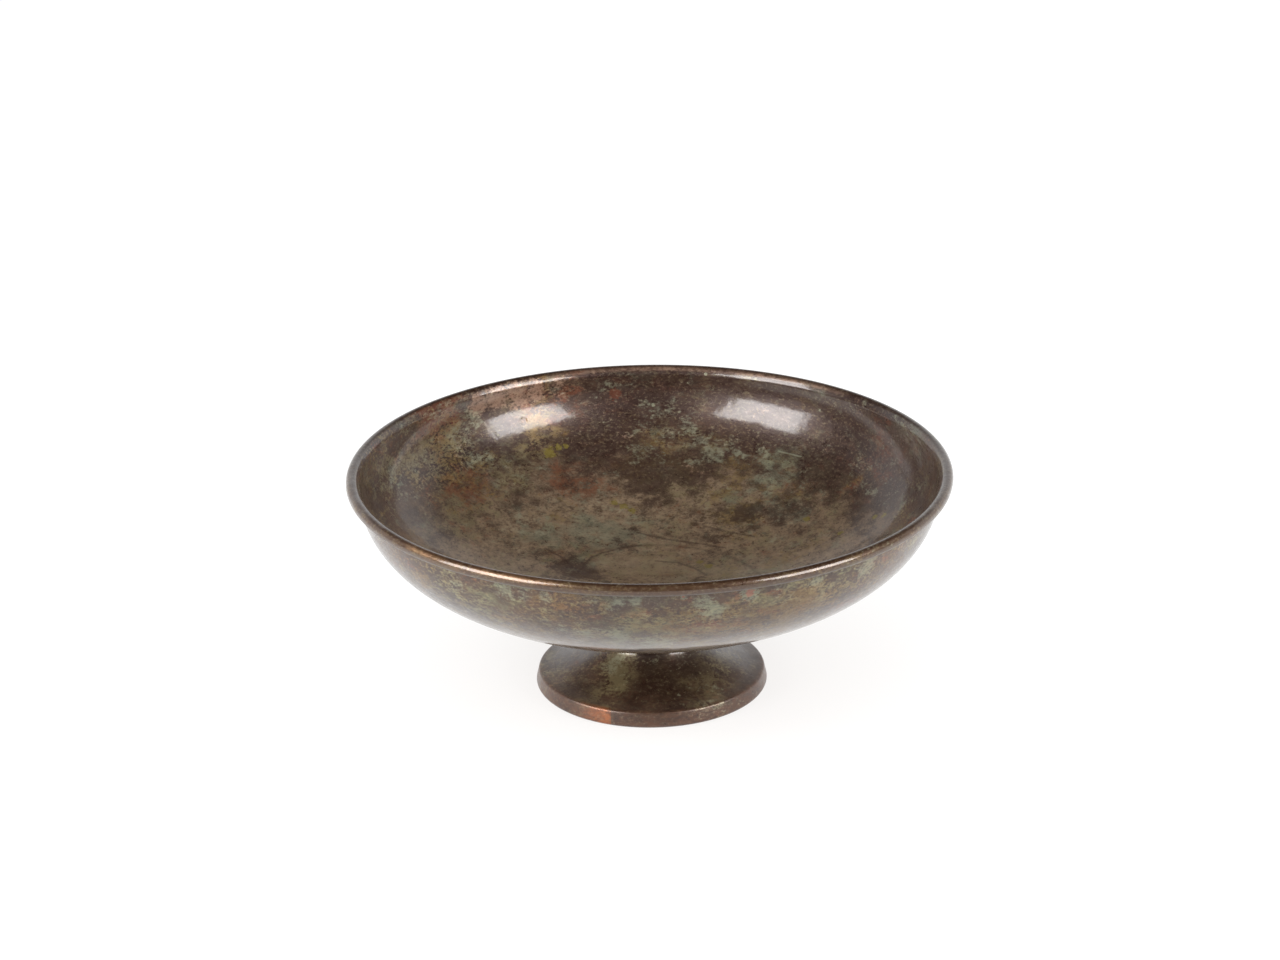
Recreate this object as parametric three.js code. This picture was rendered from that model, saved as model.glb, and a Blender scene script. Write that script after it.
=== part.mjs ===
import * as THREE from 'three';

// A bowl on a foot, in patinated copper-alloy sheet
// Both the bowl and the foot are spun from sheet. The bowl's edge flares, then rolls outwards
// over a wire. The foot's flat top is sweated to the underside of the bowl with solder.
// Sizes are in millimetres and angles in degrees. +Z is up and the foot rests on Z = 0.

// Driving dimensions of the bowl
const RIM_DIAMETER = 252.8;
const BOWL_HEIGHT = 60.5;
const BOWL_SHEET = 1.0;
const WALL_FULLNESS = 0.678;
const FLOOR_FULLNESS = 0.393;

// Driving dimensions of the rolled lip
const LIP_ROLL_DIAMETER = 5.0;
const LIP_FLARE_ANGLE = 30;
const LIP_FLARE_LENGTH = 1.2;
const LIP_FLARE_RADIUS = 3;
const LIP_CURL_OPENING = 0.35;
const WIRE_CLEARANCE = 0.25;

// Driving dimensions of the foot
const FOOT_DIAMETER = 98.4;
const FOOT_HEIGHT = 37.1;
const FOOT_SHEET = 1.0;
const NECK_DIAMETER = 41.0;
const NECK_SHOULDER_INNER_RADIUS = 1.0;
const NECK_LENGTH = 13.0;
const NECK_FULLNESS = 0.39;
const SKIRT_EDGE_SLOPE = 13.3;
const SKIRT_FULLNESS = 0.7;
const BAND_HEIGHT = 6.4;
const BAND_SLOPE = 13.2;
const BAND_ARRIS_INNER_RADIUS = 0.2;
const BASE_FLANGE_WIDTH = 4.0;
const BASE_BEND_INNER_RADIUS = 0.4;

// Driving dimensions of the solder between them
const SOLDER_THICKNESS = 0.3;
const SOLDER_FILLET_REACH = 45;
const SOLDER_FIT = 0.1;

// Fineness of the round shapes
const TURN_STEPS = 60;
const BEND_STEP = 36;
const BOWL_STEPS = 15;
const SKIRT_STEPS = 8;
const WIRE_STEPS = 8;

const radians = THREE.MathUtils.degToRad;

const degrees = THREE.MathUtils.radToDeg;

function heading(angle) {
  return new THREE.Vector2(Math.cos(radians(angle)), Math.sin(radians(angle)));
}

// The middle line of a sheet, drawn as a pen would go, in the plane of radius and height
// Angles turn to the left, from 0 (outwards) and 90 (up).
class MiddleLine {
  constructor(place, angle) {
    this.place = place.clone();
    this.angle = angle;
    this.stations = [];
    this.mark();
  }

  mark() {
    this.stations.push({ place: this.place.clone(), angle: this.angle });
  }

  run(length) {
    this.place.addScaledVector(heading(this.angle), length);
    this.mark();
    return this;
  }

  runToAxis() {
    this.place.x = 0;
    this.mark();
    return this;
  }

  bend(radius, angle) {
    const side = Math.sign(angle) * 90;
    const centre = this.place.clone().addScaledVector(heading(this.angle + side), radius);
    const start = this.angle;
    const steps = Math.ceil(Math.abs(angle) / BEND_STEP);
    for (let i = 1; i <= steps; i += 1) {
      this.angle = start + (angle * i) / steps;
      this.place = centre.clone().addScaledVector(heading(this.angle + side), -radius);
      this.mark();
    }
    return this;
  }

  // A smooth cubic to a new place and angle, held straight for a reach at each end
  sweep(place, angle, startReach, endReach, steps) {
    const curve = new THREE.CubicBezierCurve(
      this.place.clone(),
      this.place.clone().addScaledVector(heading(this.angle), startReach),
      place.clone().addScaledVector(heading(angle), -endReach),
      place.clone()
    );
    for (let i = 1; i <= steps; i += 1) {
      const along = curve.getTangent(i / steps);
      this.place = curve.getPoint(i / steps);
      this.angle = degrees(Math.atan2(along.y, along.x));
      this.mark();
    }
    return this;
  }
}

// Outline of a sheet of even thickness about its middle line, whose faces meet the axis squarely
function sheetOutline(line, thickness) {
  const offset = ({ place, angle }, turn) => {
    const point = place.clone().addScaledVector(heading(angle + turn), thickness / 2);
    return place.x === 0 ? point.setX(0) : point;
  };
  const side = (turn) => line.stations.map((station) => offset(station, turn));
  return [...side(-90).reverse(), ...side(90)];
}

// A solid turned about the axis from an outline that starts and ends on it, or that closes
function turned(outline) {
  const anticlockwise = THREE.ShapeUtils.area(outline) > 0;
  const profile = anticlockwise ? outline : [...outline].reverse();
  return new THREE.LatheGeometry(profile, TURN_STEPS).rotateX(Math.PI / 2);
}

function piece(name, geometry, material) {
  const mesh = new THREE.Mesh(geometry, material);
  mesh.name = name;
  return mesh;
}

// Heights that the foot, the solder and the bowl share
const bowlUnderside = FOOT_HEIGHT + SOLDER_THICKNESS;
const overallHeight = bowlUnderside + BOWL_HEIGHT;
const seatRadius = NECK_DIAMETER / 2;

// The rolled lip's circle
const rollRadius = LIP_ROLL_DIAMETER / 2;
const rollCentre = new THREE.Vector2(RIM_DIAMETER / 2 - rollRadius, overallHeight - rollRadius);
const rollMiddle = rollRadius - BOWL_SHEET / 2;
const rollInside = rollRadius - BOWL_SHEET;

// Angle on the roll's circle where its edge stops, short of the flare or of the upright wall
// under the flare, whichever it would meet first
function curlEnd() {
  const slope = radians(LIP_FLARE_ANGLE);
  const flareInset = LIP_FLARE_LENGTH * Math.sin(slope) + LIP_FLARE_RADIUS * (1 - Math.cos(slope));
  const wallInset = rollMiddle * Math.cos(slope) + flareInset - BOWL_SHEET / 2;
  const atFlare = Math.acos((LIP_CURL_OPENING - rollInside) / rollRadius) + slope;
  const atWall = Math.acos(Math.max((LIP_CURL_OPENING - wallInset) / rollRadius, -1));
  return -degrees(Math.min(atFlare, atWall));
}

function bowl() {
  const start = rollCentre.clone().addScaledVector(heading(curlEnd()), rollMiddle);
  const line = new MiddleLine(start, curlEnd() + 90)
    .bend(rollMiddle, 180 - LIP_FLARE_ANGLE - curlEnd())
    .run(LIP_FLARE_LENGTH)
    .bend(LIP_FLARE_RADIUS, LIP_FLARE_ANGLE);
  const seat = new THREE.Vector2(seatRadius, bowlUnderside + BOWL_SHEET / 2);
  const wallReach = WALL_FULLNESS * (line.place.y - seat.y);
  const floorReach = FLOOR_FULLNESS * (line.place.x - seat.x);
  line.sweep(seat, 180, wallReach, floorReach, BOWL_STEPS).runToAxis();
  const patina = new THREE.MeshStandardMaterial({ color: '#4a3a2c', roughness: 0.3, metalness: 0.8 });
  return piece('bowl', turned(sheetOutline(line, BOWL_SHEET)), patina);
}

// The wire fills the inside of the roll
function rimWire() {
  const radius = rollInside - WIRE_CLEARANCE;
  const ring = [];
  for (let i = 0; i <= WIRE_STEPS; i += 1) {
    const angle = (360 * (i % WIRE_STEPS)) / WIRE_STEPS;
    ring.push(rollCentre.clone().addScaledVector(heading(angle), radius));
  }
  const wire = new THREE.MeshStandardMaterial({ color: '#6b4a33', roughness: 0.5, metalness: 0.8 });
  return piece('rim_wire', turned(ring), wire);
}

function foot() {
  const baseMiddle = BASE_BEND_INNER_RADIUS + FOOT_SHEET / 2;
  const bandMiddle = BAND_ARRIS_INNER_RADIUS + FOOT_SHEET / 2;
  const shoulderMiddle = NECK_SHOULDER_INNER_RADIUS + FOOT_SHEET / 2;
  const baseBendRadius = FOOT_DIAMETER / 2 - FOOT_SHEET / 2 - baseMiddle;
  const bandAngle = 90 + BAND_SLOPE;
  const skirtAngle = 180 - SKIRT_EDGE_SLOPE;
  const flangeStart = new THREE.Vector2(FOOT_DIAMETER / 2 - BASE_FLANGE_WIDTH, FOOT_SHEET / 2);
  const line = new MiddleLine(flangeStart, 0)
    .run(baseBendRadius - flangeStart.x)
    .bend(baseMiddle, bandAngle);
  line.run((BAND_HEIGHT - line.place.y - bandMiddle) / Math.cos(radians(BAND_SLOPE)));
  line.bend(bandMiddle, skirtAngle - bandAngle);
  const neck = new THREE.Vector2((NECK_DIAMETER - FOOT_SHEET) / 2, FOOT_HEIGHT - NECK_LENGTH);
  const skirtReach = SKIRT_FULLNESS * (line.place.x - neck.x);
  const neckReach = NECK_FULLNESS * (neck.y - line.place.y);
  line.sweep(neck, 90, skirtReach, neckReach, SKIRT_STEPS)
    .run(NECK_LENGTH - FOOT_SHEET / 2 - shoulderMiddle)
    .bend(shoulderMiddle, 90)
    .runToAxis();
  const patina = new THREE.MeshStandardMaterial({ color: '#54402e', roughness: 0.35, metalness: 0.8 });
  return piece('foot', turned(sheetOutline(line, FOOT_SHEET)), patina);
}

// A thin round film of solder, with a fillet that fills the groove over the neck's shoulder
function solderJoint() {
  const shoulder = NECK_SHOULDER_INNER_RADIUS + FOOT_SHEET;
  const centre = new THREE.Vector2(seatRadius - shoulder, FOOT_HEIGHT - shoulder);
  const filletSteps = 2;
  const outline = [new THREE.Vector2(0, FOOT_HEIGHT), new THREE.Vector2(centre.x, FOOT_HEIGHT)];
  for (let i = 1; i <= filletSteps; i += 1) {
    const angle = 90 - (SOLDER_FILLET_REACH * i) / filletSteps;
    outline.push(centre.clone().addScaledVector(heading(angle), shoulder + SOLDER_FIT));
  }
  outline.push(new THREE.Vector2(seatRadius, bowlUnderside));
  outline.push(new THREE.Vector2(0, bowlUnderside));
  const solder = new THREE.MeshStandardMaterial({ color: '#7d7a73', roughness: 0.45, metalness: 0.7 });
  return piece('solder_joint', turned(outline), solder);
}

const footedBowl = new THREE.Group();
footedBowl.add(bowl(), rimWire(), foot(), solderJoint());

export default footedBowl;
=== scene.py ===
import math
import bpy
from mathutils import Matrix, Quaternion, Vector


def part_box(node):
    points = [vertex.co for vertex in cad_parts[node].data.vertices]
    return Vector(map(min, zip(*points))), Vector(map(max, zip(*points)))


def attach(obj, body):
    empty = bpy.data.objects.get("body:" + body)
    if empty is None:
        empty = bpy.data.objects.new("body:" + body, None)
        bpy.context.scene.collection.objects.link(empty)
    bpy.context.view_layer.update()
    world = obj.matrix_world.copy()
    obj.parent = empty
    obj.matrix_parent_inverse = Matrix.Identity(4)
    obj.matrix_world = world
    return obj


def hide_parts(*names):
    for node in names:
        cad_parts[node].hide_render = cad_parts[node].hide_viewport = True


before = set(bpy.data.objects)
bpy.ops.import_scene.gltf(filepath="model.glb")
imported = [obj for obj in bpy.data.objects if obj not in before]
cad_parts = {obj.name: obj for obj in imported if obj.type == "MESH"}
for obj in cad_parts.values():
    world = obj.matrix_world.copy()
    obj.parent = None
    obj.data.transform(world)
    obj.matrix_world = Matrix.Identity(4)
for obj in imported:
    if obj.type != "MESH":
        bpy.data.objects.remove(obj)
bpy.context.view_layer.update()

# Camera
# It stands a little over a metre from the bowl and looks down at it by about 22 degrees. It
# leans a trace, because the real bowl sits 1 degree out of true on its foot.
CAMERA_PLACE = (-0.00395, -1.2807, 0.6027)
CAMERA_PITCH = 21.763
CAMERA_LEAN = -0.75
CAMERA_LENS = 92.8

bpy.ops.object.camera_add(location=CAMERA_PLACE)
camera = bpy.context.object
pitched = Quaternion((1, 0, 0), math.radians(90 - CAMERA_PITCH))
camera.rotation_euler = (pitched @ Quaternion((0, 0, 1), math.radians(CAMERA_LEAN))).to_euler()
camera.data.lens = CAMERA_LENS
camera.data.sensor_width = 36
bpy.context.scene.camera = camera
bpy.context.scene.view_settings.view_transform = "Standard"

# Table
# One wide sheet of white board. Seen straight or in a reflection it is white and keeps the soft
# shadow; near the bowl its glow is a little darker and warmer, a painted shadow.
TABLE_SIZE = 9.0
TABLE_WHITE = (0.2, 0.2, 0.2, 1)
PAINTED_SHADOW_GLOW = (0.79, 0.775, 0.765, 1)
GLOW_NEAR_DISTANCE = 0.05
GLOW_FAR = (1, 1, 1, 1)
GLOW_FAR_DISTANCE = 0.22

bpy.ops.object.select_all(action="DESELECT")
bpy.ops.mesh.primitive_plane_add(size=TABLE_SIZE)
table = bpy.context.object
table.name = "table"

board = bpy.data.materials.new("white_board")
board.use_nodes = True
tree = board.node_tree
tree.nodes.clear()
output = tree.nodes.new("ShaderNodeOutputMaterial")
diffuse = tree.nodes.new("ShaderNodeBsdfDiffuse")
diffuse.inputs["Color"].default_value = TABLE_WHITE
glow = tree.nodes.new("ShaderNodeEmission")
# Painted shadow: the glow is darker and warmer close to the bowl and fades to white further out
distance = tree.nodes.new("ShaderNodeVectorMath")
distance.operation = "LENGTH"
fade = tree.nodes.new("ShaderNodeMapRange")
fade.inputs["From Min"].default_value = GLOW_NEAR_DISTANCE
fade.inputs["From Max"].default_value = GLOW_FAR_DISTANCE
shade = tree.nodes.new("ShaderNodeMix")
shade.data_type = "RGBA"
shade.inputs[6].default_value = PAINTED_SHADOW_GLOW
shade.inputs[7].default_value = GLOW_FAR
tree.links.new(tree.nodes.new("ShaderNodeTexCoord").outputs["Object"], distance.inputs[0])
tree.links.new(distance.outputs["Value"], fade.inputs["Value"])
tree.links.new(fade.outputs["Result"], shade.inputs["Factor"])
tree.links.new(shade.outputs[2], glow.inputs["Color"])
both = tree.nodes.new("ShaderNodeAddShader")
chooser = tree.nodes.new("ShaderNodeMixShader")
rays = tree.nodes.new("ShaderNodeLightPath")
seen = tree.nodes.new("ShaderNodeMath")
seen.operation = "ADD"
seen_all = tree.nodes.new("ShaderNodeMath")
seen_all.operation = "ADD"
tree.links.new(rays.outputs["Is Camera Ray"], seen.inputs[0])
tree.links.new(rays.outputs["Is Glossy Ray"], seen.inputs[1])
tree.links.new(seen.outputs[0], seen_all.inputs[0])
tree.links.new(rays.outputs["Is Transmission Ray"], seen_all.inputs[1])
tree.links.new(diffuse.outputs[0], both.inputs[0])
tree.links.new(glow.outputs[0], both.inputs[1])
tree.links.new(seen_all.outputs[0], chooser.inputs["Fac"])
tree.links.new(diffuse.outputs[0], chooser.inputs[1])
tree.links.new(both.outputs[0], chooser.inputs[2])
tree.links.new(chooser.outputs[0], output.inputs["Surface"])
table.data.materials.append(board)

# Lights
# Two softboxes stand close by, one on each side and a little in front. Behind the table the
# white backdrop rises, and overhead and in front the room is dark, as the wax shows.
SOFTBOXES = {
    "left_softbox": ((-0.457, -0.306, 0.347), 0.40, 0.36),
    "right_softbox": ((0.544, -0.341, 0.395), 0.42, 0.37),
}
SOFTBOX_POWER_PER_AREA = 33
BOWL_MIDDLE = Vector((0, 0, 0.08))
ROOM_GREY = (0.135, 0.123, 0.11, 1)
ROOM_TOP_GREY = (0.03, 0.026, 0.022, 1)
BACKDROP_WHITE = (0.8, 0.8, 0.8, 1)
# Where each part of the room begins and is full, as shares of a direction's Y and Z
BACKDROP_SIDE = (0.05, 0.45)
BACKDROP_TOP = (0.62, 0.36)
ROOM_TOP = (0.1, 0.6)

for name, (place, width, height) in SOFTBOXES.items():
    bpy.ops.object.light_add(type="AREA", location=place)
    softbox = bpy.context.object
    softbox.name = name
    softbox.rotation_euler = (Vector(place) - BOWL_MIDDLE).to_track_quat("Z", "Y").to_euler()
    softbox.data.shape = "RECTANGLE"
    softbox.data.size = width
    softbox.data.size_y = height
    softbox.data.energy = SOFTBOX_POWER_PER_AREA * width * height

room = bpy.data.worlds.new("room")
room.use_nodes = True
tree = room.node_tree


def between(value, start, end):
    """A shade node that goes smoothly from 0 at start to 1 at end."""
    node = tree.nodes.new("ShaderNodeMapRange")
    node.interpolation_type = "SMOOTHSTEP"
    node.inputs["From Min"].default_value = start
    node.inputs["From Max"].default_value = end
    tree.links.new(value, node.inputs["Value"])
    return node.outputs["Result"]


directions = tree.nodes.new("ShaderNodeSeparateXYZ")
tree.links.new(tree.nodes.new("ShaderNodeTexCoord").outputs["Generated"], directions.inputs[0])
behind = between(directions.outputs["Y"], *BACKDROP_SIDE)
below_top = between(directions.outputs["Z"], *BACKDROP_TOP)
backdrop = tree.nodes.new("ShaderNodeMath")
backdrop.operation = "MULTIPLY"
tree.links.new(behind, backdrop.inputs[0])
tree.links.new(below_top, backdrop.inputs[1])
dusk = tree.nodes.new("ShaderNodeMix")
dusk.data_type = "RGBA"
dusk.inputs[6].default_value = ROOM_GREY
dusk.inputs[7].default_value = ROOM_TOP_GREY
tree.links.new(between(directions.outputs["Z"], *ROOM_TOP), dusk.inputs["Factor"])
shades = tree.nodes.new("ShaderNodeMix")
shades.data_type = "RGBA"
shades.inputs[7].default_value = BACKDROP_WHITE
tree.links.new(dusk.outputs[2], shades.inputs[6])
tree.links.new(backdrop.outputs[0], shades.inputs["Factor"])
tree.links.new(shades.outputs[2], tree.nodes["Background"].inputs["Color"])
bpy.context.scene.world = room

# Bowl
# One disc of copper-alloy sheet, spun over a former to a round wall. Its edge flares and is
# rolled outwards into a bead. It is darkened and dabbed with green and brown patina, then waxed.
MM = 0.001
bowl_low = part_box("bowl")[0]
BOWL_SHEET = 1.0 * MM
RIM_RADIUS = 126.4 * MM
LIP_TOP = 97.9 * MM
ROLL_RADIUS = 2.5 * MM
ROLL_OPEN_ANGLE = -138.9
FLARE_ANGLE = 30
FLARE_LENGTH = 1.2 * MM
FLARE_RADIUS = 3 * MM
SEAT_RADIUS = 20.5 * MM
WALL_FULLNESS = 0.678
FLOOR_FULLNESS = 0.393
BOWL_TURN_STEPS = 256
LIP_STEPS = 34
FLARE_STEPS = 6
WALL_STEPS = 64
SEAT_STEPS = 6
SMOOTH_UP_TO = 40


def way(angle):
    """The direction of an angle, from 0 (outwards) to 90 (up), in radius and height."""
    return Vector((math.cos(math.radians(angle)), math.sin(math.radians(angle))))


class Pen:
    """Draws a sheet's middle line in edit mode, vertex by vertex, at radius X and height Z."""

    def __init__(self, name, radius, height, angle):
        bpy.ops.object.select_all(action="DESELECT")
        bpy.ops.mesh.primitive_plane_add(size=MM)
        self.piece = bpy.context.object
        self.piece.name = name
        bpy.ops.object.mode_set(mode="EDIT")
        bpy.ops.mesh.select_all(action="SELECT")
        bpy.ops.mesh.merge(type="CENTER")
        bpy.ops.transform.translate(value=(radius, 0, height))
        self.place = Vector((radius, height))
        self.angle = angle

    def draw_to(self, place):
        step = place - self.place
        bpy.ops.mesh.extrude_region_move(TRANSFORM_OT_translate={"value": (step.x, 0, step.y)})
        self.place = place

    def run(self, length, steps):
        start = self.place
        for i in range(1, steps + 1):
            self.draw_to(start + way(self.angle) * length * i / steps)

    def bend(self, radius, angle, steps):
        side = math.copysign(90, angle)
        start = self.angle
        centre = self.place + way(start + side) * radius
        for i in range(1, steps + 1):
            self.angle = start + angle * i / steps
            self.draw_to(centre - way(self.angle + side) * radius)

    def sweep(self, place, angle, start_reach, end_reach, steps):
        """A smooth cubic to a new place and angle, held straight for a reach at each end."""
        a = self.place
        b = a + way(self.angle) * start_reach
        c = place - way(angle) * end_reach
        for i in range(1, steps + 1):
            t = i / steps
            s = 1 - t
            self.draw_to(a * s**3 + b * 3 * s * s * t + c * 3 * s * t * t + place * t**3)
        self.angle = angle

    def spin(self, turn_steps):
        """Turns the line about the axis into a closed-up sheet with no thickness yet."""
        bpy.ops.mesh.select_all(action="SELECT")
        bpy.ops.mesh.spin(steps=turn_steps, angle=math.tau, center=(0, 0, 0), axis=(0, 0, 1))
        bpy.ops.mesh.select_all(action="SELECT")
        bpy.ops.mesh.remove_doubles(threshold=MM / 1000)
        bpy.ops.mesh.normals_make_consistent(inside=False)
        bpy.ops.object.mode_set(mode="OBJECT")
        return self.piece


def thicken(piece, thickness):
    """Gives the sheet its thickness about its middle line, and shades it smooth but for its edges."""
    solidify = piece.modifiers.new("sheet", "SOLIDIFY")
    solidify.thickness = thickness
    solidify.offset = 0
    solidify.use_even_offset = True
    bpy.context.view_layer.objects.active = piece
    bpy.ops.object.modifier_apply(modifier=solidify.name)
    bpy.ops.object.select_all(action="DESELECT")
    piece.select_set(True)
    bpy.ops.object.shade_smooth_by_angle(angle=math.radians(SMOOTH_UP_TO))


roll_centre = Vector((RIM_RADIUS - ROLL_RADIUS, LIP_TOP - ROLL_RADIUS))
roll_middle = ROLL_RADIUS - BOWL_SHEET / 2
open_end = roll_centre + way(ROLL_OPEN_ANGLE) * roll_middle
pen = Pen("bowl_shell", open_end.x, open_end.y, ROLL_OPEN_ANGLE + 90)
pen.bend(roll_middle, 180 - FLARE_ANGLE - ROLL_OPEN_ANGLE, LIP_STEPS)
pen.run(FLARE_LENGTH, 2)
pen.bend(FLARE_RADIUS, FLARE_ANGLE, FLARE_STEPS)
seat = Vector((SEAT_RADIUS, bowl_low.z + BOWL_SHEET / 2))
wall_reach = WALL_FULLNESS * (pen.place.y - seat.y)
floor_reach = FLOOR_FULLNESS * (pen.place.x - seat.x)
pen.sweep(seat, 180, wall_reach, floor_reach, WALL_STEPS)
pen.run(SEAT_RADIUS, SEAT_STEPS)
bowl_shell = pen.spin(BOWL_TURN_STEPS)
thicken(bowl_shell, BOWL_SHEET)


def srgb(red, green, blue):
    """A colour given as it looks on a screen, from 0 to 255, in Blender's linear numbers."""
    def linear(value):
        share = value / 255
        return share / 12.92 if share <= 0.04045 else ((share + 0.055) / 1.055) ** 2.4
    return (linear(red), linear(green), linear(blue), 1)


class Finish:
    """A material under way. Each call adds a node and gives the output to link on."""

    def __init__(self, name):
        self.material = bpy.data.materials.new(name)
        self.material.use_nodes = True
        self.tree = self.material.node_tree
        self.tree.nodes.clear()
        self.place = self.add("ShaderNodeTexCoord").outputs["Object"]
        parts = self.add("ShaderNodeSeparateXYZ")
        self.put(parts.inputs[0], self.place)
        self.x, self.y, self.height = parts.outputs
        across = self.times(self.x, self.x)
        along = self.times(self.y, self.y)
        self.radius = self.math("SQRT", self.math("ADD", across, along))

    def add(self, kind, **settings):
        node = self.tree.nodes.new(kind)
        for key, value in settings.items():
            setattr(node, key, value)
        return node

    def put(self, socket, value):
        if isinstance(value, bpy.types.NodeSocket):
            self.tree.links.new(value, socket)
        else:
            socket.default_value = value

    def math(self, operation, a, b=0.0):
        node = self.add("ShaderNodeMath", operation=operation)
        self.put(node.inputs[0], a)
        self.put(node.inputs[1], b)
        return node.outputs[0]

    def times(self, a, b):
        return self.math("MULTIPLY", a, b)

    def sum(self, *terms):
        """Adds up values, each with its weight."""
        total = 0.0
        for value, weight in terms:
            total = self.math("ADD", self.times(value, weight), total)
        return total

    def noise(self, scale, detail=5.0, roughness=0.6, shift=0.0, flat=1.9):
        """Noise with scale patches to the metre, drawn out level by flat, moved by shift."""
        mapping = self.add("ShaderNodeMapping")
        self.put(mapping.inputs["Vector"], self.place)
        mapping.inputs["Scale"].default_value = (1, 1, flat)
        mapping.inputs["Location"].default_value = (shift, shift * 0.7, shift * 1.3)
        node = self.add("ShaderNodeTexNoise")
        self.put(node.inputs["Vector"], mapping.outputs[0])
        node.inputs["Scale"].default_value = scale
        node.inputs["Detail"].default_value = detail
        node.inputs["Roughness"].default_value = roughness
        return node.outputs["Fac"]

    def spread(self, value, start, end, least=0.0, most=1.0):
        """Goes smoothly from least at start to most at end; start may be the larger."""
        node = self.add("ShaderNodeMapRange", interpolation_type="SMOOTHSTEP")
        self.put(node.inputs["Value"], value)
        node.inputs["From Min"].default_value = start
        node.inputs["From Max"].default_value = end
        node.inputs["To Min"].default_value = least
        node.inputs["To Max"].default_value = most
        return node.outputs["Result"]

    def blend(self, amount, under, over, kind="MIX"):
        """Lays a colour over another by an amount from 0 to 1."""
        node = self.add("ShaderNodeMix", data_type="RGBA", blend_type=kind)
        self.put(node.inputs["Factor"], amount)
        self.put(node.inputs[6], under)
        self.put(node.inputs[7], over)
        return node.outputs[2]

    def near(self, spots):
        """The distance to the nearest spot, each spot being a place and a size in millimetres."""
        nearest = None
        for (x, y, z), size in spots:
            node = self.add("ShaderNodeVectorMath", operation="DISTANCE")
            self.put(node.inputs[0], self.place)
            node.inputs[1].default_value = (x * MM, y * MM, z * MM)
            shares = self.math("DIVIDE", node.outputs["Value"], size * MM)
            nearest = shares if nearest is None else self.math("MINIMUM", nearest, shares)
        return nearest

    def along(self, points):
        """The distance to a line drawn through places that are given in millimetres."""
        nearest = None
        for start, end in zip(points, points[1:]):
            start = Vector(start) * MM
            step = Vector(end) * MM - start
            reach = self.add("ShaderNodeVectorMath", operation="SUBTRACT")
            self.put(reach.inputs[0], self.place)
            reach.inputs[1].default_value = start
            share = self.add("ShaderNodeVectorMath", operation="DOT_PRODUCT")
            self.put(share.inputs[0], reach.outputs["Vector"])
            share.inputs[1].default_value = step / step.length_squared
            within = self.add("ShaderNodeClamp")
            self.put(within.inputs["Value"], share.outputs["Value"])
            passed = self.add("ShaderNodeVectorMath", operation="SCALE")
            passed.inputs[0].default_value = step
            self.put(passed.inputs["Scale"], within.outputs["Result"])
            gap = self.add("ShaderNodeVectorMath", operation="DISTANCE")
            self.put(gap.inputs[0], reach.outputs["Vector"])
            self.put(gap.inputs[1], passed.outputs["Vector"])
            gap = gap.outputs["Value"]
            nearest = gap if nearest is None else self.math("MINIMUM", nearest, gap)
        return nearest

    def bump(self, height, depth, under=None):
        """Raises the surface by height, a number from 0 to 1, times depth in metres."""
        node = self.add("ShaderNodeBump")
        node.inputs["Distance"].default_value = depth
        self.put(node.inputs["Height"], height)
        if under is not None:
            self.put(node.inputs["Normal"], under)
        return node.outputs["Normal"]

    def end(self, colour, roughness, metallic, normal, coat=0.0, coat_roughness=0.1, coat_normal=None):
        """Links the finish to a shader, with a clear coat where there is wax."""
        shader = self.add("ShaderNodeBsdfPrincipled")
        self.put(shader.inputs["Base Color"], colour)
        self.put(shader.inputs["Roughness"], roughness)
        self.put(shader.inputs["Metallic"], metallic)
        self.put(shader.inputs["Normal"], normal)
        shader.inputs["Coat Weight"].default_value = coat
        self.put(shader.inputs["Coat Roughness"], coat_roughness)
        if coat_normal is not None:
            self.put(shader.inputs["Coat Normal"], coat_normal)
        output = self.add("ShaderNodeOutputMaterial")
        self.tree.links.new(shader.outputs[0], output.inputs["Surface"])
        return self.material


GROUND_DARK_AND_SHADE = srgb(56, 37, 30)
GROUND_BROWN = srgb(98, 74, 58)
FLOOR_DUST_AND_SHEEN = srgb(178, 154, 126)
OLIVE_DUST = srgb(140, 128, 94)
GREY_GREEN = srgb(126, 136, 116)
OCHRE = srgb(132, 108, 62)
RUST = srgb(120, 64, 40)
PLUM = srgb(58, 39, 34)
GRAIN_LIGHT = srgb(172, 154, 126)
WORN_AND_SHEEN_BROWN = srgb(158, 126, 106)
WARM_FILM = (1, 0.88, 0.62, 1)
BEAD_BROWN = srgb(78, 58, 47)
MINT = srgb(154, 160, 136)
PALE_BLOOM = srgb(168, 170, 144)
BARE_COPPER = srgb(166, 94, 46)
YELLOW_FLECK = srgb(134, 120, 46)
RED_CHIP = srgb(150, 82, 62)
PATINA_METALLIC = 0.4
WAX = 0.9


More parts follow.
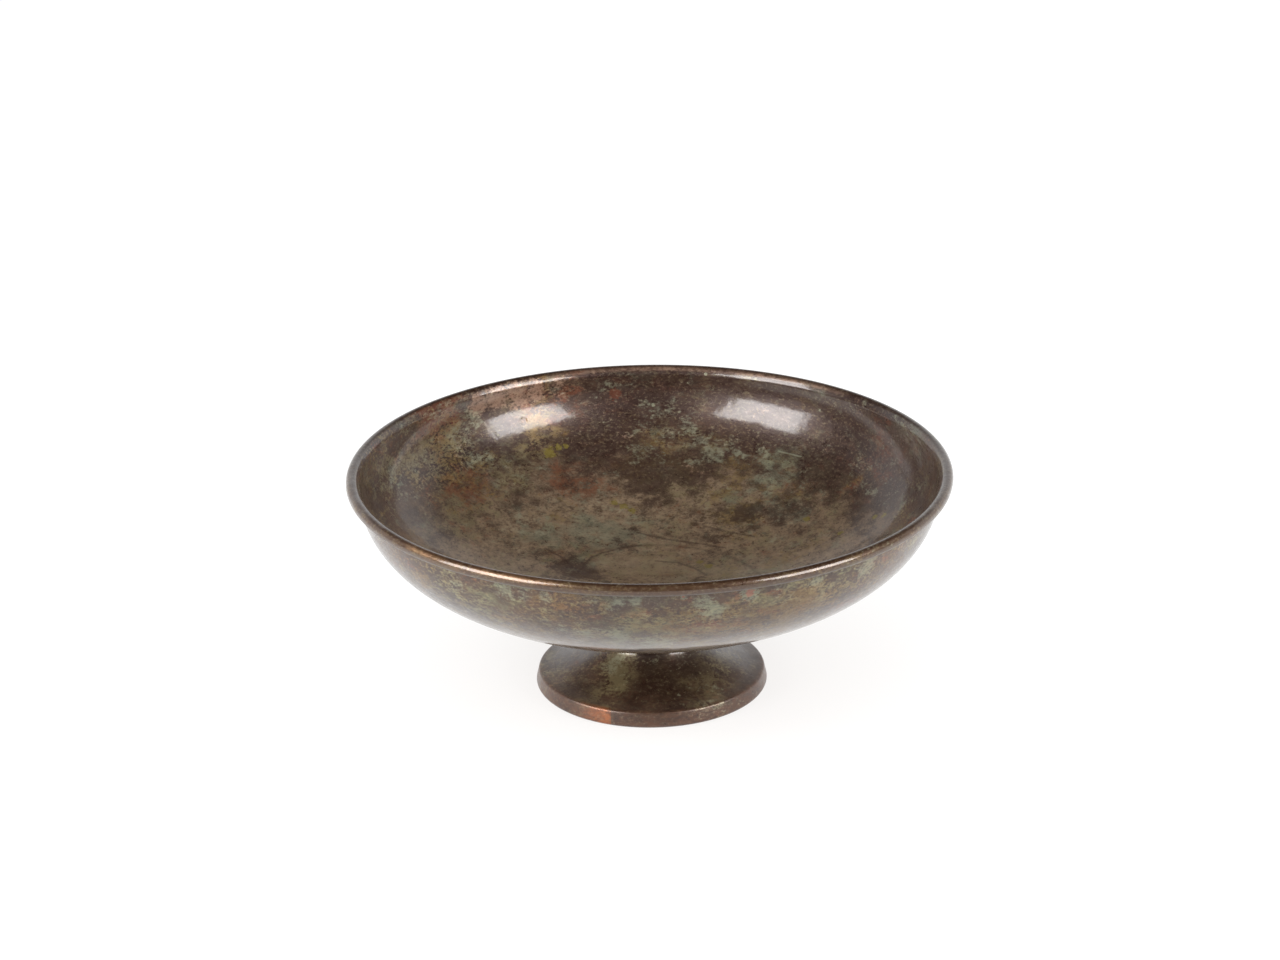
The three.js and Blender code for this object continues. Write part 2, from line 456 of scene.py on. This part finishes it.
class Patina(Finish):
    """Brown oxide, sponged over with thin grey-green, olive, ochre and rust, under wax."""

    def __init__(self, name):
        super().__init__(name)
        self.crust = self.noise(480, 4, 0.7)
        self.ragged = self.sum((self.crust, 0.5), (self.noise(170, 6, 0.72, 3.0), 0.5))
        self.grain = self.math("SUBTRACT", self.noise(680, 3, 0.7, 5.0, flat=1.5), 0.5)
        turning = self.add("ShaderNodeTexNoise", noise_dimensions="1D")
        self.put(turning.inputs["W"], self.times(self.radius, 500))
        ground = self.sum(
            (self.noise(22, 4, 0.6, 0.4), 0.6),
            (self.ragged, 0.7),
            (turning.outputs["Fac"], 0.12),
        )
        self.colour = self.blend(self.spread(ground, 0.56, 0.9), GROUND_DARK_AND_SHADE, GROUND_BROWN)

    def layer(self, over, shift, start, end, strength, spots=(), pull=0.2, soft=False):
        """Sponge dabs of a colour, gathered in clouds and drawn towards chosen spots.

        The shift gives each layer clouds of its own. A dab begins where the cloud is at start, and
        is at its full strength at end. A soft one has less broken edges.
        """
        broken = 0.58 if soft else 0.68
        grainy = 0.3 if soft else 0.7
        cloud = self.sum(
            (self.noise(30, 3, 0.55, shift), 0.8),
            (self.noise(125, 6, broken, shift * 1.7), 1.0),
            (self.crust, 0.6),
            (self.grain, grainy),
        )
        if spots:
            cloud = self.math("ADD", cloud, self.spread(self.near(spots), 1.7, 0.2, 0.0, pull))
        self.tint(self.spread(cloud, start, end, 0.0, strength), over)

    def outer_face(self, inner_point):
        """1 where a face looks away from a point inside the bowl, and 0 where it looks there."""
        away = self.add("ShaderNodeVectorMath", operation="SUBTRACT")
        self.put(away.inputs[0], self.place)
        away.inputs[1].default_value = inner_point
        turned = self.add("ShaderNodeVectorMath", operation="DOT_PRODUCT")
        self.put(turned.inputs[0], away.outputs["Vector"])
        self.put(turned.inputs[1], self.add("ShaderNodeTexCoord").outputs["Normal"])
        return self.spread(turned.outputs["Value"], -0.005, 0.005)

    def marks(self, over, spots, strength, ragged, scale=380):
        """Small marks with a broken edge, each at its own place."""
        shares = self.sum((self.near(spots), 1.0), (self.noise(scale, 4, 0.7, 7.0), ragged))
        level = ragged * 0.5
        self.tint(self.spread(shares, level + 1.0, level + 0.7, 0.0, strength), over)

    def tint(self, amount, over, kind="MIX"):
        self.colour = self.blend(amount, self.colour, over, kind)

    def wax(self, coat_roughness, marked=None):
        """Grains the colour and ends the finish under wax, which is smoother than the metal."""
        self.tint(self.spread(self.grain, 0.0, 0.22, 0.0, 0.22), GRAIN_LIGHT)
        self.tint(self.spread(self.grain, 0.0, -0.22, 0.0, 0.32), GROUND_DARK_AND_SHADE)
        waves = self.sum(
            (self.noise(45, 2, 0.5, 1.0, flat=1.0), 1.0),
            (self.noise(170, 2, 0.5, 2.0, flat=1.0), 0.16),
        )
        if marked is not None:
            waves = self.math("ADD", waves, marked)
        smooth = self.bump(waves, 0.4 * MM)
        rough = self.bump(self.ragged, 0.15 * MM, smooth)
        roughness = self.spread(self.ragged, 0.35, 0.65, 0.26, 0.5)
        return self.end(self.colour, roughness, PATINA_METALLIC, rough, WAX, coat_roughness, smooth)


# Where each colour gathers, and each mark, as places and sizes in millimetres
RUST_SPOTS = (
    ((-32, 90, 58), 14), ((-91, 78, 89), 16), ((93, 62, 71), 24), ((-81, 66, 64), 13),
    ((-15, 119, 85), 10), ((-50, 108, 88), 18), ((20, -117, 78), 9), ((30, 100, 82), 14),
    ((-36, 114, 92), 14), ((15, -121, 91), 4),
)
OCHRE_SPOTS = (
    ((-81, 80, 74), 17), ((41, 97, 64), 14), ((19, 104, 65), 15), ((-47, 99, 68), 12),
    ((31, 72, 49), 16), ((5, 107, 66), 15), ((-36, -115, 84), 16), ((60, -100, 80), 14),
    ((10, -113, 72), 24), ((-45, -105, 74), 20), ((48, -104, 76), 22), ((-84, -78, 80), 16),
)
GREEN_SPOTS = (
    ((-26, 80, 51), 15), ((54, 85, 61), 15), ((60, 63, 53), 18), ((-22, 58, 44), 19),
    ((-50, 51, 47), 16), ((-5, 61, 43), 12), ((-79, 88, 82), 13), ((49, 70, 52), 16),
    ((4, 115, 75), 9), ((108, 50, 87), 13), ((19, -118, 84), 10), ((-14, -120, 90), 8),
    ((45, -111, 84), 11), ((-14, -112, 69), 15), ((-59, -105, 84), 12), ((76, 94, 93), 7),
)
OLIVE_SPOTS = (
    ((-66, 80, 66), 24), ((-90, 45, 62), 22), ((20, 100, 62), 26), ((-10, 40, 41), 24),
    ((45, 20, 40), 26), ((0, -20, 39), 24), ((-60, 5, 42), 22), ((-16, -115, 76), 16),
    ((26, -113, 76), 18), ((41, -110, 81), 13), ((-70, -96, 84), 22), ((76, -92, 84), 24),
    ((70, 84, 68), 16), ((-96, 65, 76), 22), ((-88, 79, 80), 18), ((-104, 48, 74), 20),
    ((43, -112, 84), 5), ((40, -111, 79), 5), ((17, -114, 74), 7), ((26, -114, 77), 6),
    ((-20, -117, 79), 5), ((-45, -107, 75), 7), ((-56, -103, 78), 6),
)
DARK_AND_SHADE_SPOTS = (
    ((0, 95, 57), 14), ((-66, 88, 80), 14), ((60, 100, 80), 24), ((-32, 27, 40), 8),
    ((86, 76, 74), 28), ((-24, 108, 72), 16), ((18, 96, 58), 12), ((100, 50, 74), 20),
    ((-14, 119, 85), 16), ((14, 119, 84), 18), ((89, 80, 86), 20), ((36, 114, 84), 16),
)
PAINTED_SHEEN_SPOTS = (
    ((-76, 94, 91), 6), ((-68, 100, 91), 7), ((-59, 106, 91), 7), ((-50, 110, 91), 7),
    ((-41, 114, 91), 6),
)
WORN_BEAD = (
    ((-52, -112, 97), 20), ((-88, -87, 97), 12), ((0, 124, 97), 40), ((62, 107, 97), 34),
)
YELLOW_FLECKS = (
    ((-44.5, 98, 66), 3.2), ((-40.5, 101, 67.5), 1.8), ((-37, 102.3, 67.3), 1.4),
    ((-15.5, 78, 49.6), 1.8), ((-11.5, 76, 48.6), 2.2), ((-7.5, 73.3, 47.4), 2.0),
    ((21.6, 33.2, 39.5), 1.8), ((25, 29, 39.4), 2.2), ((68.7, 50.5, 51.9), 2.0),
    ((97, 29.7, 61), 1.6), ((100.4, 26.7, 63), 1.6), ((82, 31, 53), 1.6),
)
MINT_SPOTS = (
    ((-79, -92, 90.8), 4), ((-76, -94, 86.5), 6), ((-68, -105, 91.5), 3), ((-57, -107, 89.5), 6),
    ((-49, -111, 89.5), 5), ((-41, -114, 89.5), 4), ((-29, -120, 90.5), 3), ((-24, -119, 90), 4),
    ((-14, -120, 89.5), 4), ((-6, -121, 90.5), 3), ((20, -119, 86.5), 5), ((23, -118, 83.5), 5),
    ((49, -111, 89.5), 4), ((64, -103, 88.4), 4), ((85, -86, 89), 6), ((-36, -110, 74), 5),
    ((-25, -111, 71), 7), ((-12, -111, 69.5), 8), ((2, -110, 67), 8),
)
# Lines along creases in the floor, darkened as painted shade
SHADED_CREASES = (
    ((-45.6, 41, 43.5), (-39, 36, 41.8), (-32, 26, 39.7)),
    ((-31, 24, 39.6), (-26, 37, 40.4), (-21, 42, 40.7), (-12, 46.8, 40.9), (-4, 49, 41.1)),
    ((-5, 58.5, 43), (9.6, 52.6, 41.9), (24, 47.4, 41.8), (32, 43, 42)),
    ((24, 61, 44.9), (45.5, 48, 44.9)),
    ((2.5, 35.8, 39.2), (12, 33.7, 39.1), (19.7, 27.3, 38.9), (24, 20.6, 38.8)),
)
PALE_PATCH = (((-12, 33, 39), 10), ((2, 28, 38.8), 11), ((12, 22, 38.7), 9))
RED_DAB = (((-14.7, 118.9, 86), 3.0),)
PALE_MARKS = (((76.5, 92.6, 86.8), 0.7), ((2.4, 118.1, 80.7), 1.0), ((26.4, 118.3, 95.2), 0.9))
CHIPS = (((37.9, -115.3, 90.1), 2.0), ((12.2, -121, 91.2), 0.7))
CHIP_HALOS = tuple((place, size * 2.0) for place, size in CHIPS)
BLISTER = (((-55.9, 103.5, 79.2), 2.2),)
SCRATCH = ((57.9, 92.2, 67.6), (62.9, 88.8, 67.6), (67.6, 85.2, 67.6))
SPINNING_MARK_RADIUS = 49 * MM
SPINNING_MARK_WIDTH = 1.6 * MM
DUST_AND_SHEEN_TOP = 74 * MM
DUST_AND_SHEEN_FULL = 46 * MM
INSIDE_POINT = (0, 0, 0.12)
BOWL_WAX_ROUGHNESS = 0.12

patina = Patina("bowl_patina")
# Dust and a painted sheen: the floor and lower wall are lighter, most so at the lowest, broken by the
# crust
dust_and_sheen = patina.times(
    patina.spread(patina.height, DUST_AND_SHEEN_TOP, DUST_AND_SHEEN_FULL, 0.0, 0.84),
    patina.spread(patina.ragged, 0.4, 0.6, 0.35, 1.0),
)
patina.tint(dust_and_sheen, FLOOR_DUST_AND_SHEEN)
patina.layer(OLIVE_DUST, 1.3, 1.24, 1.46, 0.55, OLIVE_SPOTS, 0.13)
patina.layer(RUST, 4.9, 1.3, 1.48, 0.6, RUST_SPOTS, 0.24)
patina.layer(OCHRE, 3.7, 1.28, 1.48, 0.55, OCHRE_SPOTS, 0.2)
patina.layer(GREY_GREEN, 2.1, 1.25, 1.53, 0.42, GREEN_SPOTS, 0.15, soft=True)
# Dark plum patina, drawn together at spots that on the back wall between the highlights are also painted
# shade
patina.layer(PLUM, 5.6, 1.22, 1.42, 0.8, DARK_AND_SHADE_SPOTS, 0.28)
# Worn dabs over the wall, and at the back left under the flare a painted copper sheen
patina.layer(WORN_AND_SHEEN_BROWN, 10.3, 1.4, 1.7, 0.75, PAINTED_SHEEN_SPOTS, 0.42)
patina.layer(PALE_BLOOM, 6.4, 1.32, 1.6, 0.46, GREEN_SPOTS + OCHRE_SPOTS, 0.1, soft=True)
patina.tint(patina.spread(patina.near(PALE_PATCH), 1.1, 0.8, 0.0, 0.22), FLOOR_DUST_AND_SHEEN)
# Painted shade along the creases in the floor
for shaded_crease in SHADED_CREASES:
    off_shaded_crease = patina.sum((patina.along(shaded_crease), 1.0), (patina.ragged, MM))
    patina.tint(patina.spread(off_shaded_crease, 1.6 * MM, 0.6 * MM, 0.0, 0.5), PLUM)
patina.marks(RUST, RED_DAB, 0.5, 2.4, 600)
patina.marks(PALE_BLOOM, PALE_MARKS, 0.5, 1.8, 900)
patina.marks(YELLOW_FLECK, YELLOW_FLECKS, 0.64, 2.4, 600)
bead = patina.spread(patina.radius, RIM_RADIUS - 4.3 * MM, RIM_RADIUS - 3.7 * MM, 0.0, 0.6)
patina.tint(bead, BEAD_BROWN)
rubbed = patina.times(
    patina.spread(patina.height, LIP_TOP - 2.3 * MM, LIP_TOP - 1.3 * MM),
    patina.spread(patina.ragged, 0.4, 0.6, 0.2, 0.6),
)
rubbed = patina.times(rubbed, patina.spread(patina.near(WORN_BEAD), 1.2, 0.5))
patina.tint(rubbed, WORN_AND_SHEEN_BROWN)
# Painted shade: a dark line along the top of the bead, where it mirrors the dark room overhead
crown_shade = patina.spread(patina.height, LIP_TOP - 0.7 * MM, LIP_TOP - 0.2 * MM, 0.0, 0.7)
patina.tint(crown_shade, GROUND_DARK_AND_SHADE)
off_ring = patina.math("ABSOLUTE", patina.math("SUBTRACT", patina.radius, SPINNING_MARK_RADIUS))
patina.tint(patina.spread(off_ring, SPINNING_MARK_WIDTH, 0.0, 0.0, 0.3), GROUND_DARK_AND_SHADE)
patina.tint(patina.spread(patina.along(SCRATCH), 0.6 * MM, 0.2 * MM, 0.0, 0.38), PALE_BLOOM)
patina.tint(patina.outer_face(INSIDE_POINT), WARM_FILM, "MULTIPLY")
patina.layer(MINT, 14.2, 1.42, 1.8, 0.46, MINT_SPOTS, 0.42)
patina.marks(MINT, CHIP_HALOS, 0.45, 3.0, 900)
patina.marks(RED_CHIP, CHIPS, 0.7, 2.6, 900)
# Under the bead the wax is dull, where no cloth reaches
under_bead = patina.times(
    patina.spread(patina.radius, RIM_RADIUS - 4.0 * MM, RIM_RADIUS - 3.2 * MM),
    patina.spread(patina.height, LIP_TOP - 2.2 * MM, LIP_TOP - 3.3 * MM, 0.0, 0.35),
)
dulled = patina.math("ADD", under_bead, BOWL_WAX_ROUGHNESS)
blistered = patina.spread(patina.near(BLISTER), 1.3, 0.2, 0.0, 0.6)
bowl_shell.data.materials.append(patina.wax(dulled, blistered))
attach(bowl_shell, "root")
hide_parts("bowl")

# Rim wire
# A ring of drawn wire that stiffens the lip. The edge of the bowl is rolled round it, so it
# shows nowhere but through the narrow slot left under the roll.
WIRE_DARK = srgb(96, 62, 44)
WIRE_LIGHT = srgb(128, 88, 62)
WIRE_METALLIC = 0.9

wire = Finish("rim_wire")
drawn = wire.noise(300, 4, 0.6, flat=6.0)
wire_colour = wire.blend(drawn, WIRE_DARK, WIRE_LIGHT)
wire_roughness = wire.spread(drawn, 0.3, 0.7, 0.35, 0.6)
wire_finish = wire.end(wire_colour, wire_roughness, WIRE_METALLIC, wire.bump(drawn, 0.05 * MM))
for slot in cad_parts["rim_wire"].material_slots:
    slot.material = wire_finish

# Foot
# A second spun piece of sheet: a flat closed top, a narrow neck, a skirt like a trumpet's and
# a band turned down to the table. The same patina is worn to copper along the band.
foot_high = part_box("foot")[1]
FOOT_SHEET = 1.0 * MM
FOOT_RADIUS = 49.2 * MM
NECK_LENGTH = 13.0 * MM
NECK_FULLNESS = 0.39
SKIRT_FULLNESS = 0.7
SKIRT_EDGE_SLOPE = 13.3
BAND_HEIGHT = 6.4 * MM
BAND_SLOPE = 13.2
BAND_MIDDLE_RADIUS = 0.7 * MM
BASE_MIDDLE_RADIUS = 0.9 * MM
BASE_FLANGE_WIDTH = 4.0 * MM
SHOULDER_MIDDLE_RADIUS = 1.5 * MM
FOOT_TURN_STEPS = 224
SKIRT_STEPS = 32
BASE_STEPS = 8
FOOT_BEND_STEPS = 6

pen = Pen("foot_shell", FOOT_RADIUS - BASE_FLANGE_WIDTH, FOOT_SHEET / 2, 0)
pen.run(BASE_FLANGE_WIDTH - FOOT_SHEET / 2 - BASE_MIDDLE_RADIUS, 2)
pen.bend(BASE_MIDDLE_RADIUS, 90 + BAND_SLOPE, BASE_STEPS)
rise = BAND_HEIGHT - pen.place.y - BAND_MIDDLE_RADIUS
pen.run(rise / math.cos(math.radians(BAND_SLOPE)), 4)
pen.bend(BAND_MIDDLE_RADIUS, 90 - SKIRT_EDGE_SLOPE - BAND_SLOPE, FOOT_BEND_STEPS)
neck = Vector((SEAT_RADIUS - FOOT_SHEET / 2, foot_high.z - NECK_LENGTH))
skirt_reach = SKIRT_FULLNESS * (pen.place.x - neck.x)
neck_reach = NECK_FULLNESS * (neck.y - pen.place.y)
pen.sweep(neck, 90, skirt_reach, neck_reach, SKIRT_STEPS)
pen.run(NECK_LENGTH - FOOT_SHEET / 2 - SHOULDER_MIDDLE_RADIUS, 6)
pen.bend(SHOULDER_MIDDLE_RADIUS, 90, FOOT_BEND_STEPS)
pen.run(pen.place.x, 4)
foot_shell = pen.spin(FOOT_TURN_STEPS)
thicken(foot_shell, FOOT_SHEET)

BAND_BROWN = srgb(102, 66, 44)
# Where each colour gathers, as places and sizes in millimetres
SKIRT_GREEN = (((-15.5, -19, 17), 6), ((-14.5, -25, 14), 5.5), ((-13.5, -31, 11), 5))
SKIRT_OLIVE = (((20, -33, 9.5), 11), ((30, -36, 8), 9), ((-28, -34, 9), 10))
SKIRT_SHADE = (((-2, -28, 13), 13), ((8, -34, 10), 10), ((-34, -29, 8), 8), ((16, -22, 14), 9))
# The worn stretch of the band, which ends sharply on its right
WORN_FROM = -34 * MM
WORN_TO = -17.6 * MM
WORN_EDGE = 0.6 * MM

patina = Patina("foot_patina")
patina.layer(OLIVE_DUST, 8.3, 1.22, 1.46, 0.5, SKIRT_OLIVE, 0.16)
patina.layer(RUST, 11.9, 1.28, 1.5, 0.45)
# Painted shade: the front middle of the skirt darkened, where it mirrors the bowl's underside
patina.layer(GROUND_DARK_AND_SHADE, 12.7, 1.2, 1.4, 0.85, SKIRT_SHADE, 0.22)
patina.layer(OLIVE_DUST, 9.1, 1.34, 1.64, 0.7, SKIRT_GREEN, 0.32)
patina.layer(PALE_BLOOM, 6.4, 1.36, 1.56, 0.5, SKIRT_GREEN, 0.22)
on_band = patina.times(
    patina.spread(patina.height, BAND_HEIGHT + 0.8 * MM, BAND_HEIGHT),
    patina.spread(patina.radius, FOOT_RADIUS - 3.7 * MM, FOOT_RADIUS - 2.7 * MM),
)
patina.tint(patina.times(on_band, patina.spread(patina.ragged, 0.42, 0.6, 0.2, 0.75)), BAND_BROWN)
worn = patina.times(
    patina.spread(patina.x, WORN_FROM, WORN_TO),
    patina.spread(patina.x, WORN_TO + WORN_EDGE, WORN_TO),
)
worn = patina.times(worn, patina.spread(patina.y, 0.0, -WORN_EDGE))
worn = patina.times(worn, patina.spread(patina.ragged, 0.38, 0.58, 0.3, 0.95))
patina.tint(patina.times(worn, on_band), BARE_COPPER)
# Handling has dulled the wax on the band
rubbed_dull = patina.spread(patina.height, BAND_HEIGHT + 3.1 * MM, BAND_HEIGHT + 0.4 * MM, 0.13, 0.45)
foot_shell.data.materials.append(patina.wax(rubbed_dull))
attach(foot_shell, "root")
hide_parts("foot")

# Solder joint
# Soft solder run between the foot's flat top and the bowl. A thin film holds them, and a dull
# grey fillet shows in the groove round the top of the neck.
SOLDER_DARK = srgb(84, 78, 70)
SOLDER_LIGHT = srgb(132, 128, 120)
SOLDER_METALLIC = 0.6

solder = Finish("solder")
dull = solder.noise(500, 5, 0.7)
solder_colour = solder.blend(dull, SOLDER_DARK, SOLDER_LIGHT)
solder_roughness = solder.spread(dull, 0.3, 0.7, 0.3, 0.6)
solder_finish = solder.end(solder_colour, solder_roughness, SOLDER_METALLIC, solder.bump(dull, 0.1 * MM))
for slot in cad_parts["solder_joint"].material_slots:
    slot.material = solder_finish
